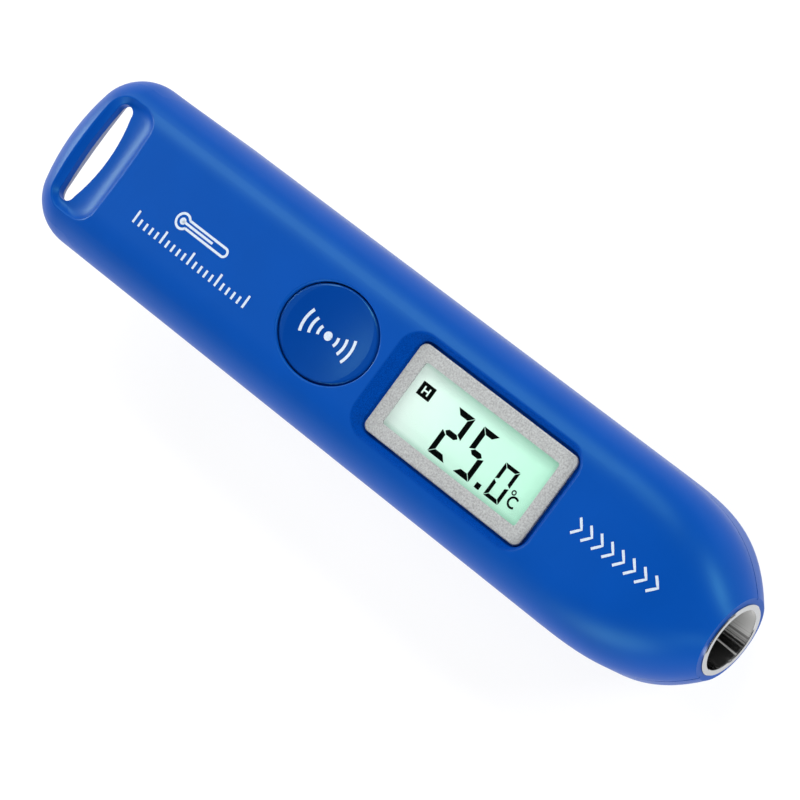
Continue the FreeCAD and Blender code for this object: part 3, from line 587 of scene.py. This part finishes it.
def middle_bar(start, end, stroke):
    """Corner points of the middle bar, which is pointed at both ends."""
    start, end = Vector(start), Vector(end)
    along = (end - start).normalized()
    side = Vector((-along.y, along.x)) * stroke / 2
    first, last = start + along * SEGMENT_GAP, end - along * SEGMENT_GAP
    near, far = first + along * stroke / 2, last - along * stroke / 2
    blunt = side * 0.1
    upper = [first + blunt, near + side, far + side, last + blunt]
    lower = [last - blunt, far - side, near - side, first - blunt]
    return upper + lower


def segment_digit(x_range, y_range, stroke, lit):
    """Seven-segment digit: lit holds the letters a to g of the segments that show."""
    left, right = x_range[0] + stroke / 2, x_range[1] - stroke / 2
    low, high = y_range[0] + stroke / 2, y_range[1] - stroke / 2
    mid = (low + high) / 2
    corner, level = stroke / 2, 0.0
    shapes = {
        "a": outer_bar((left, high), (right, high), (0, 1), stroke, corner),
        "b": outer_bar((right, high), (right, mid), (1, 0), stroke, level),
        "c": outer_bar((right, low), (right, mid), (1, 0), stroke, level),
        "d": outer_bar((left, low), (right, low), (0, -1), stroke, corner),
        "e": outer_bar((left, low), (left, mid), (-1, 0), stroke, level),
        "f": outer_bar((left, high), (left, mid), (-1, 0), stroke, level),
        "g": middle_bar((left, mid), (right, mid), stroke),
    }
    return [shapes[letter] for letter in lit]


# Places on the display, in millimetres from the bezel's middle: the left and right of each digit with its
# segments, the heights of the digits, the point, and the unit with its degree ring.
LARGE_DIGITS = (((-3.3, -1.25), "abged"), ((-0.15, 1.75), "afgcd"))
SMALL_DIGIT = ((3.6, 5.35), "abcdef")
DIGIT_LOW = -2.85
DIGIT_HIGH = 1.92
SMALL_DIGIT_HIGH = 0.6
DIGIT_STROKE = 0.54
SMALL_STROKE = 0.36
POINT_X = (2.45, 3.0)
POINT_UP = 0.27
UNIT_PLACE = (6.42, -1.85)
UNIT_RADIUS = 0.48
UNIT_OPENING = 48
UNIT_STROKE = 0.2
DEGREE_PLACE = (5.95, -1.1)
DEGREE_RADIUS = 0.19
DEGREE_STROKE = 0.12


def on_display(*places):
    """Points in the CAD frame from (x, y) places on the display."""
    return [(BEZEL.x + x, BEZEL.y + y) for x, y in places]


def reading():
    """Temperature whose last digit is smaller, and its unit."""
    low, high, small_high = (BEZEL.y + y for y in (DIGIT_LOW, DIGIT_HIGH, SMALL_DIGIT_HIGH))
    marks = []
    for (left, right), lit in LARGE_DIGITS:
        marks += segment_digit((BEZEL.x + left, BEZEL.x + right), (low, high), DIGIT_STROKE, lit)
    (left, right), lit = SMALL_DIGIT
    marks += segment_digit((BEZEL.x + left, BEZEL.x + right), (low, small_high), SMALL_STROKE, lit)
    marks.append(ribbon(on_display(*((x, DIGIT_LOW + POINT_UP) for x in POINT_X)), DIGIT_STROKE))
    unit, degree = on_display(UNIT_PLACE, DEGREE_PLACE)
    letter = arc(unit, UNIT_RADIUS, UNIT_OPENING, 360 - UNIT_OPENING, steps=20)
    marks.append(ribbon(letter, UNIT_STROKE))
    marks.append(ribbon(arc(degree, DEGREE_RADIUS, 0, 360, steps=18), DEGREE_STROKE))
    return marks


# Hold sign: a dark box, and the inset, margin and stroke of the bars of the letter in it.
HOLD_X = (-7.6, -6.05)
HOLD_Y = (0.55, 1.88)
HOLD_INSET = 0.48
HOLD_MARGIN = 0.3
HOLD_STROKE = 0.16
HOLD_LETTER_HEIGHT = 0.01


def hold_sign():
    """Strokes of the box, and strokes of the upright letter in it."""
    left, right = HOLD_X
    bottom, top = HOLD_Y
    middle_y = (bottom + top) / 2
    box = [ribbon(on_display((left, middle_y), (right, middle_y)), top - bottom)]
    first, last = left + HOLD_INSET, right - HOLD_INSET
    lines = [((x, bottom + HOLD_MARGIN), (x, top - HOLD_MARGIN)) for x in (first, last)]
    lines.append(((first, middle_y), (last, middle_y)))
    return box, [ribbon(on_display(*line), HOLD_STROKE) for line in lines]


def display_marks():
    """Reading, box and letter of the hold sign, as thin pieces on the display glass."""
    base = surface_of("lcd_front_polariser")
    box, bars = hold_sign()
    segments = strokes_to_mesh("display_segments", reading(), base, INK_HEIGHT)
    sign = strokes_to_mesh("display_hold_box", box, base, INK_HEIGHT)

    def box_top(x, y):
        return base(x, y) + INK_HEIGHT * MM

    letter = strokes_to_mesh("display_hold_letter", bars, box_top, HOLD_LETTER_HEIGHT)
    return segments, sign, letter


def add_marks():
    """Print, display segments and hold sign, each riding on its body."""
    ink = white_print()
    dark = plain_plastic("segment_black", (0.001, 0.0015, 0.0015), 0.6, 0.0)
    for piece, body in ((tail_print(), "case"), (nose_print(), "case"), (button_print(), "button")):
        paint(piece, ink)
        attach(piece, body)
    segments, sign, letter = display_marks()
    for piece in (segments, sign):
        paint(piece, dark)
        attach(piece, "case")
    # The letter is a gap in the box, so it shows the lit background.
    paint(letter, NODES["lcd_front_polariser"].material_slots[0].material)
    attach(letter, "case")


# ---------------------------------------------------------------- floor, light and camera

FLOOR_HALF_SIZE = 2.0


def floor_white():
    """White that mostly glows, so that shadows on it are faint."""
    graph = Graph("floor_white")
    shade = graph.mottle(0.02, (0.97, 0.97, 0.97), WHITE)
    graph.drive("Base Color", graph.blend(0.78, shade, BLACK))
    graph.drive("Emission Color", shade)
    graph.set(Emission_Strength=0.78, Roughness=0.9)
    return graph.material


def add_floor():
    far = FLOOR_HALF_SIZE
    corners = [(-far, -far, 0), (far, -far, 0), (far, far, 0), (-far, far, 0)]
    data = bpy.data.meshes.new("floor")
    data.from_pydata(corners, [], [(0, 1, 2, 3)])
    floor = bpy.data.objects.new("floor", data)
    bpy.context.scene.collection.objects.link(floor)
    paint(floor, floor_white())


def add_softbox(name, direction, distance, size, power):
    """Area light turned towards the object, with its first side as near to the X axis as it can be."""
    data = bpy.data.lights.new(name, "AREA")
    data.shape = "RECTANGLE"
    data.size, data.size_y = size
    data.energy = power
    light = bpy.data.objects.new(name, data)
    away = Vector(direction).normalized()
    along = (Vector((1, 0, 0)) - away.x * away).normalized()
    turn = Matrix((along, away.cross(along), away)).transposed().to_4x4()
    light.matrix_world = Matrix.Translation(distance * away) @ turn
    bpy.context.scene.collection.objects.link(light)


def add_lights():
    """Dim studio, a soft key, two long boxes for the sides, and small ones for the ends and the button."""
    world = bpy.data.worlds.new("studio")
    world.use_nodes = True
    background = world.node_tree.nodes["Background"]
    background.inputs["Color"].default_value = (1.0, 1.0, 1.0, 1.0)
    background.inputs["Strength"].default_value = 0.08
    bpy.context.scene.world = world
    add_softbox("left_key", (0.2, -0.9, 0.4), 0.7, (0.5, 0.3), 5.2)
    add_softbox("upper_band", (-0.463, 0.64, 0.6), 0.8, (0.9, 0.26), 7.6)
    add_softbox("lower_band", (-0.463, -0.882, 0.1), 0.8, (0.9, 0.12), 0.5)
    add_softbox("tail_light", (-0.96, -0.05, 0.27), 0.8, (0.2, 0.3), 4.4)
    add_softbox("nose_light", (0.72, 0.58, 0.37), 0.8, (0.25, 0.12), 5.0)
    add_softbox("nose_fill", (0.78, -0.41, 0.48), 0.8, (0.2, 0.2), 1.4)
    add_softbox("button_glow", (-0.66, -0.05, 0.75), 0.8, (0.06, 0.2), 0.3)


# The camera looks down on the front from a little towards the nose and to one side, and is rolled so that
# the object lies slanting in the picture. It is lined up on AIM and then moved to frame the object.
NOSE_TILT = math.radians(27.6)
SIDE_LEAN = math.radians(3.5)
PICTURE_TURN = math.radians(37.9)
DISTANCE = 0.313
FOCAL_LENGTH = 155.5
SENSOR_WIDTH = 36.0
AIM = Vector((2.0, 0.0, 7.5)) * MM
SHIFT_LEFT = 0.78 * MM
SHIFT_DOWN = 0.90 * MM


def add_camera():
    back = Vector((math.sin(NOSE_TILT), math.sin(SIDE_LEAN) * math.cos(NOSE_TILT),
                   math.cos(SIDE_LEAN) * math.cos(NOSE_TILT)))
    along = (Vector((1, 0, 0)) - back.x * back).normalized()
    over = back.cross(along)
    right = math.cos(PICTURE_TURN) * along + math.sin(PICTURE_TURN) * over
    up = math.cos(PICTURE_TURN) * over - math.sin(PICTURE_TURN) * along
    place = AIM + DISTANCE * back - SHIFT_LEFT * right - SHIFT_DOWN * up
    data = bpy.data.cameras.new("camera")
    data.lens = FOCAL_LENGTH
    data.sensor_width = SENSOR_WIDTH
    data.clip_start = 0.01
    camera = bpy.data.objects.new("camera", data)
    turn = Matrix((right, up, back)).transposed().to_4x4()
    camera.matrix_world = Matrix.Translation(place) @ turn
    bpy.context.scene.collection.objects.link(camera)
    bpy.context.scene.camera = camera


paint_nodes()
add_marks()
add_floor()
add_lights()
add_camera()
bpy.context.scene.view_settings.view_transform = "Standard"
